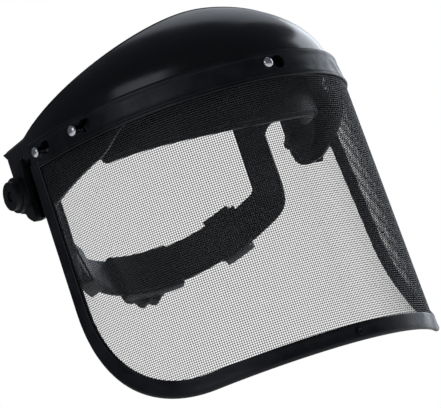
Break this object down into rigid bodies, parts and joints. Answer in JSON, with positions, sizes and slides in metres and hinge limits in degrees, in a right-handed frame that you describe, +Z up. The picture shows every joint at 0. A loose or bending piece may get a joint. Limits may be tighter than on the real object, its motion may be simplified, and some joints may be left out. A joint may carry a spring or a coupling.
{
  "type": "face shield",
  "caption": "Face shield for outdoor work: a glossy brow crown with a woven wire visor that clips to studs, on a headband that it tilts about, with a nape ratchet.",
  "frame": {"origin": "middle of the line through the two side pivots, about which the crown and visor tilt", "axes": "+X to the wearer's left, -Y the way the wearer looks, +Z up"},
  "size_m": [0.243, 0.2408, 0.2447],
  "materials": {
    "black_gloss": "high gloss",
    "black_satin": "satin moulded",
    "black_vinyl": "soft satin",
    "black_wire": "black coated woven wire",
    "foam_grey": "soft cloth over foam",
    "nickel": "polished",
    "zinc": "zinc plated",
    "brass": "turned",
    "nylon": "natural nylon"
  },
  "bodies": {
    "headgear": {"front_band": "black_satin", "sweatband": "foam_grey", "ratchet_base": "black_satin", "ratchet_cover": "black_satin", "ratchet_detent_spring": "zinc", "top_strap_pin": "black_satin", "rear_arm_left": "black_satin", "rear_arm_right": "black_satin", "arm_peg_left": "black_satin", "arm_peg_right": "black_satin", "strap_peg_left": "black_satin", "strap_peg_right": "black_satin", "strap_keeper_left": "black_satin", "strap_keeper_right": "black_satin", "top_strap_left": "black_satin", "top_strap_right": "black_satin", "pivot_bolt_left": "black_satin", "pivot_bolt_right": "black_satin", "friction_washer_left": "nylon", "friction_washer_right": "nylon"},
    "shield": {"crown_shell": "black_gloss", "visor_top_rim": "black_vinyl", "visor_mesh": "black_wire", "visor_binding": "black_vinyl", "binding_rivet": "black_satin", "visor_stud_front": "nickel", "visor_stud_left_front": "nickel", "visor_stud_left_side": "nickel", "visor_stud_right_front": "nickel", "visor_stud_right_side": "nickel", "stud_washer_front": "nickel", "stud_washer_left_front": "nickel", "stud_washer_left_side": "nickel", "stud_washer_right_front": "nickel", "stud_washer_right_side": "nickel"},
    "left_knob": {"pivot_knob_left": "black_satin", "knob_insert_left": "brass", "spring_washer_left": "zinc"},
    "right_knob": {"pivot_knob_right": "black_satin", "knob_insert_right": "brass", "spring_washer_right": "zinc"},
    "nape_knob": {"ratchet_knob": "black_satin", "ratchet_pinion": "nylon", "ratchet_screw": "black_satin"},
    "left_nape_strap": {"nape_strap_left": "black_satin"},
    "right_nape_strap": {"nape_strap_right": "black_satin"}
  },
  "joints": [
    {"name": "visor_tilt", "type": "hinge", "parent": "headgear", "child": "shield", "pos_m": [0, 0, 0], "axis": [-1, 0, 0], "range_deg": [0, 85]},
    {"name": "left_pivot_knob", "type": "hinge", "parent": "headgear", "child": "left_knob", "pos_m": [0, 0, 0], "axis": [1, 0, 0], "continuous": true},
    {"name": "right_pivot_knob", "type": "hinge", "parent": "headgear", "child": "right_knob", "pos_m": [0, 0, 0], "axis": [-1, 0, 0], "continuous": true},
    {"name": "ratchet_turn", "type": "hinge", "parent": "headgear", "child": "nape_knob", "pos_m": [0, 0.07396, -0.05454], "axis": [0, 0.9397, -0.342], "range_deg": [-130, 55]},
    {"name": "nape_strap_left_slide", "type": "hinge", "parent": "headgear", "child": "left_nape_strap", "pos_m": [0, 0.0016, -0.0282], "axis": [0, 0.342, 0.9397], "range_deg": [-4.61, 10.7]},
    {"name": "nape_strap_right_slide", "type": "hinge", "parent": "headgear", "child": "right_nape_strap", "pos_m": [0, 0.0016, -0.0282], "axis": [0, 0.342, 0.9397], "range_deg": [-10.45, 4.51]}
  ],
  "couplings": [
    {"joint": "nape_strap_left_slide", "follows": "ratchet_turn", "ratio": -0.08117},
    {"joint": "nape_strap_right_slide", "follows": "ratchet_turn", "ratio": 0.07921}
  ]
}
